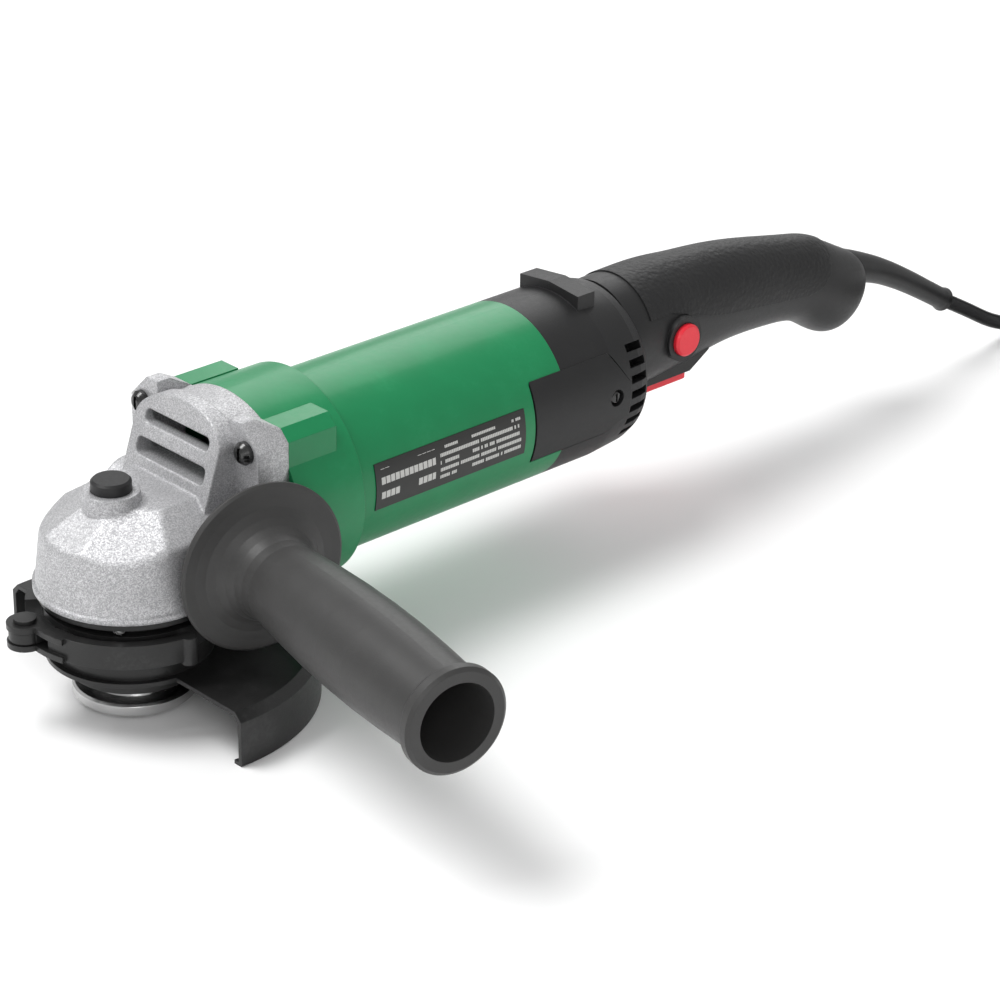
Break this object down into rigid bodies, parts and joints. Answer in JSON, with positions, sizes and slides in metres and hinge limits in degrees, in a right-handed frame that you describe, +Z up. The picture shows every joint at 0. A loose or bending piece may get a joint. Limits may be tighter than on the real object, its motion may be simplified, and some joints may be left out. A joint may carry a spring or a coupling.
{
  "type": "angle grinder",
  "caption": "Corded angle grinder with a cast gear head, side handle, disc guard and a rear grip with trigger.",
  "frame": {"origin": "on the spindle axis, at the outer face of the disc lock nut", "axes": "+Z up along the spindle, +X along the motor to the rear grip, side handle on -Y"},
  "size_m": [0.5727, 0.2239, 0.1008],
  "materials": {
    "cast_aluminium": "cast, sparkling satin",
    "green_shell": "semi-gloss moulded",
    "black_plastic": "fine moulded texture",
    "grip_rubber": "grained",
    "red_plastic": "satin moulded",
    "black_steel": "black oxide",
    "bright_steel": "turned and polished",
    "spring_steel": "drawn wire",
    "gear_steel": "ground",
    "lamination": "stacked sheet",
    "copper": "enamelled wire and copper",
    "carbon": "pressed graphite",
    "rating_label": "printed film",
    "fan_plastic": "moulded nylon",
    "lead_rubber": "smooth jacket",
    "brass_pin": "turned"
  },
  "bodies": {
    "tool_body": {"spindle_bearing": "bright_steel", "spindle_bush": "brass_pin", "dust_seal": "lead_rubber", "gear_housing": "cast_aluminium", "flange_screws": "black_steel", "bearing_cover": "black_steel", "bearing_cover_screws": "bright_steel", "lock_button_spring": "spring_steel", "motor_housing": "green_shell", "rating_plate": "rating_label", "air_baffle": "fan_plastic", "front_bearing": "bright_steel", "rear_bearing": "bright_steel", "stator_core": "lamination", "field_coils": "copper", "brush_holders": "brass_pin", "carbon_brushes": "carbon", "brush_springs": "spring_steel", "brush_cover_left": "black_plastic", "brush_cover_right": "black_plastic", "brush_cover_screws": "black_steel", "rear_housing_left": "black_plastic", "rear_housing_right": "black_plastic", "grip_left": "black_plastic", "grip_right": "black_plastic", "grip_pad_left": "grip_rubber", "grip_pad_right": "grip_rubber", "grip_screws": "black_steel", "trigger_spring": "spring_steel", "switch_body": "fan_plastic", "lockon_spring": "spring_steel", "capacitor": "rating_label", "cord_clamp": "fan_plastic", "cord_clamp_screws": "bright_steel", "cord_gland": "grip_rubber", "power_cord": "lead_rubber", "cord_coil": "lead_rubber", "plug_body": "lead_rubber", "plug_pins": "brass_pin"},
    "guard": {"guard_shroud": "black_steel", "guard_clamp_band": "black_steel", "guard_lever_pin": "black_steel"},
    "guard_lever": {"guard_lever": "black_steel"},
    "spindle": {"spindle": "bright_steel", "spindle_clip": "spring_steel", "inner_flange": "black_steel", "drive_gear": "gear_steel"},
    "lock_nut": {"lock_nut": "bright_steel"},
    "armature": {"pinion": "gear_steel", "fan": "fan_plastic", "armature_shaft": "bright_steel", "armature_core": "lamination", "armature_windings": "copper", "commutator": "copper"},
    "lock_button": {"lock_button": "black_plastic"},
    "trigger": {"trigger": "red_plastic"},
    "lockon_button": {"lockon_button": "red_plastic"},
    "side_handle": {"side_handle_grip": "black_plastic", "side_handle_stud": "bright_steel"}
  },
  "joints": [
    {"name": "armature_spin", "type": "hinge", "parent": "tool_body", "child": "armature", "pos_m": [0.1, 0, 0.0591], "axis": [1, 0, 0], "continuous": true},
    {"name": "spindle_spin", "type": "hinge", "parent": "tool_body", "child": "spindle", "pos_m": [0, 0, 0.03], "axis": [0, 0, 1], "continuous": true},
    {"name": "nut_unscrew", "type": "slide", "parent": "spindle", "child": "lock_nut", "axis": [0, 0, -1], "range_m": [0, 0.03]},
    {"name": "lock_press", "type": "slide", "parent": "tool_body", "child": "lock_button", "axis": [0, 0, -1], "range_m": [0, 0.0035], "stiffness_N_per_m": 400, "springref_m": -0.003, "deforming": ["lock_button_spring"]},
    {"name": "trigger_squeeze", "type": "slide", "parent": "tool_body", "child": "trigger", "axis": [0, 0, 1], "range_m": [0, 0.005], "stiffness_N_per_m": 400, "springref_m": -0.003, "deforming": ["trigger_spring"]},
    {"name": "lockon_press", "type": "slide", "parent": "tool_body", "child": "lockon_button", "axis": [0, 1, 0], "range_m": [0, 0.003], "stiffness_N_per_m": 400, "springref_m": -0.003, "deforming": ["lockon_spring"]},
    {"name": "guard_turn", "type": "hinge", "parent": "tool_body", "child": "guard", "pos_m": [0, 0, 0.03], "axis": [0, 0, 1], "range_deg": [-90, 0]},
    {"name": "guard_lever_open", "type": "hinge", "parent": "guard", "child": "guard_lever", "pos_m": [-0.037, 0.0086, 0.0304], "axis": [0, 0, -1], "range_deg": [0, 100]},
    {"name": "handle_unscrew", "type": "slide", "parent": "tool_body", "child": "side_handle", "axis": [-0.1788, -0.9839, 0], "range_m": [0, 0.02]}
  ],
  "couplings": [
    {"joint": "spindle_spin", "follows": "armature_spin", "ratio": 0.32432}
  ]
}
